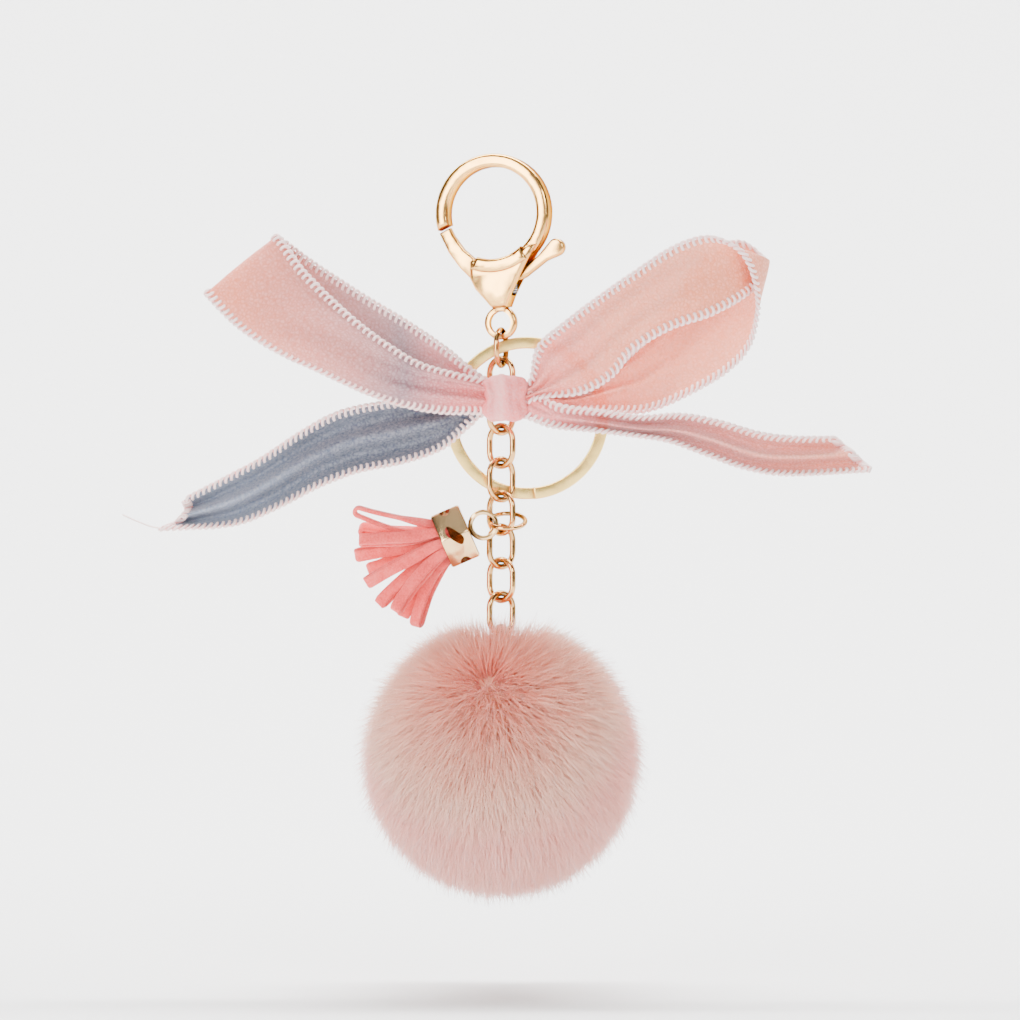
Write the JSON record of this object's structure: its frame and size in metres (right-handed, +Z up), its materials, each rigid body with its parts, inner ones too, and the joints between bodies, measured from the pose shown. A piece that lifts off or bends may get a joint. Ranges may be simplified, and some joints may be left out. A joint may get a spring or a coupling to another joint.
{
  "type": "bag-charm key chain",
  "caption": "Bag-charm key chain: lobster clasp, split key ring and oval-link chain with a sheer ribbon bow, a suede tassel in a metal cap and a faux-fur pompom.",
  "frame": {"origin": "inside top of the clasp's hook, where it hangs", "axes": "+Z up along the hanging charm, -Y towards the front of the bow, +X towards the thumb trigger"},
  "size_m": [0.141, 0.052, 0.1466],
  "materials": {
    "gold": "polished",
    "pale_gold": "satin",
    "old_gold": "polished",
    "steel": "satin",
    "organza": "sheer",
    "suede": "matte",
    "fur": "matte",
    "filling": "matte",
    "cord": "matte"
  },
  "bodies": {
    "clasp": {"clasp_body": "gold", "gate_pivot_pin": "steel", "gate_spring": "steel"},
    "gate": {"gate_lever": "gold"},
    "connector": {"connector_link": "old_gold"},
    "split_ring": {"split_key_ring": "pale_gold"},
    "link_1": {"chain_link_1": "old_gold"},
    "link_2": {"chain_link_2": "old_gold", "ribbon_knot": "organza", "ribbon_tie": "organza", "ribbon_left_loop": "organza", "ribbon_right_loop": "organza", "ribbon_left_tail": "organza", "ribbon_right_tail": "organza"},
    "link_3": {"chain_link_3": "old_gold"},
    "link_4": {"chain_link_4": "old_gold"},
    "link_5": {"chain_link_5": "old_gold"},
    "link_6": {"chain_link_6": "old_gold"},
    "link_7": {"chain_link_7": "old_gold"},
    "link_8": {"chain_link_8": "old_gold"},
    "jump_ring": {"tassel_jump_ring": "pale_gold"},
    "tassel": {"tassel_cap": "pale_gold", "tassel_loop_1": "suede", "tassel_loop_2": "suede", "tassel_loop_3": "suede", "tassel_loop_4": "suede", "tassel_loop_5": "suede", "tassel_loop_6": "suede", "tassel_loop_7": "suede", "tassel_loop_8": "suede", "tassel_loop_9": "suede", "tassel_loop_10": "suede"},
    "pompom": {"pompom_fur": "fur", "pompom_core": "filling", "pompom_cord": "cord"}
  },
  "joints": [
    {"name": "gate_hinge", "type": "hinge", "parent": "clasp", "child": "gate", "pos_m": [-0.00152, 0.00049, -0.0238], "axis": [0.309, 0.9511, 0], "range_deg": [0, 22], "stiffness_Nm_per_rad": 0.004, "springref_deg": -5.73, "deforming": ["gate_spring"]},
    {"name": "connector_swing", "type": "hinge", "parent": "clasp", "child": "connector", "pos_m": [0.00143, -0.00046, -0.03402], "axis": [1, 0, 0], "range_deg": [-18, 18]},
    {"name": "split_ring_swing", "type": "hinge", "parent": "connector", "child": "split_ring", "pos_m": [0.00143, 0.0016, -0.0369], "axis": [0, 1, 0], "range_deg": [0, 20]},
    {"name": "chain_swing_1", "type": "hinge", "parent": "connector", "child": "link_1", "pos_m": [0.00143, -0.00046, -0.03975], "axis": [0.309, 0.9511, 0], "range_deg": [-15, 4]},
    {"name": "chain_swing_2", "type": "hinge", "parent": "link_1", "child": "link_2", "pos_m": [0.00143, -0.00046, -0.0465], "axis": [0.766, -0.6428, 0], "range_deg": [-12, 3]},
    {"name": "chain_swing_3", "type": "hinge", "parent": "link_2", "child": "link_3", "pos_m": [0.00143, -0.00046, -0.0532], "axis": [-0.766, -0.6428, 0], "range_deg": [-4, 18]},
    {"name": "chain_swing_4", "type": "hinge", "parent": "link_3", "child": "link_4", "pos_m": [0.00143, -0.00046, -0.0599], "axis": [-0.766, 0.6428, 0], "range_deg": [-10, 18]},
    {"name": "chain_swing_5", "type": "hinge", "parent": "link_4", "child": "link_5", "pos_m": [0.00143, -0.00046, -0.0666], "axis": [0.766, 0.6428, 0], "range_deg": [-18, 15]},
    {"name": "chain_swing_6", "type": "hinge", "parent": "link_5", "child": "link_6", "pos_m": [0.00143, -0.00046, -0.0733], "axis": [0.766, -0.6428, 0], "range_deg": [-2, 20]},
    {"name": "chain_swing_7", "type": "hinge", "parent": "link_6", "child": "link_7", "pos_m": [0.00143, -0.00046, -0.08], "axis": [-0.766, -0.6428, 0], "range_deg": [-8, 20]},
    {"name": "chain_swing_8", "type": "hinge", "parent": "link_7", "child": "link_8", "pos_m": [0.00143, -0.00046, -0.0867], "axis": [-0.766, 0.6428, 0], "range_deg": [-20, 8]},
    {"name": "jump_ring_turn", "type": "hinge", "parent": "link_5", "child": "jump_ring", "pos_m": [0.00373, -0.00239, -0.0708], "axis": [0, 0, 1], "range_deg": [0, 50]},
    {"name": "tassel_swing", "type": "hinge", "parent": "jump_ring", "child": "tassel", "pos_m": [-0.00085, -0.0034, -0.0708], "axis": [0, 1, 0], "range_deg": [0, 15]},
    {"name": "pompom_swing", "type": "hinge", "parent": "link_8", "child": "pompom", "pos_m": [0.00143, -0.00046, -0.0934], "axis": [0.766, 0.6428, 0], "range_deg": [-20, 10]}
  ]
}
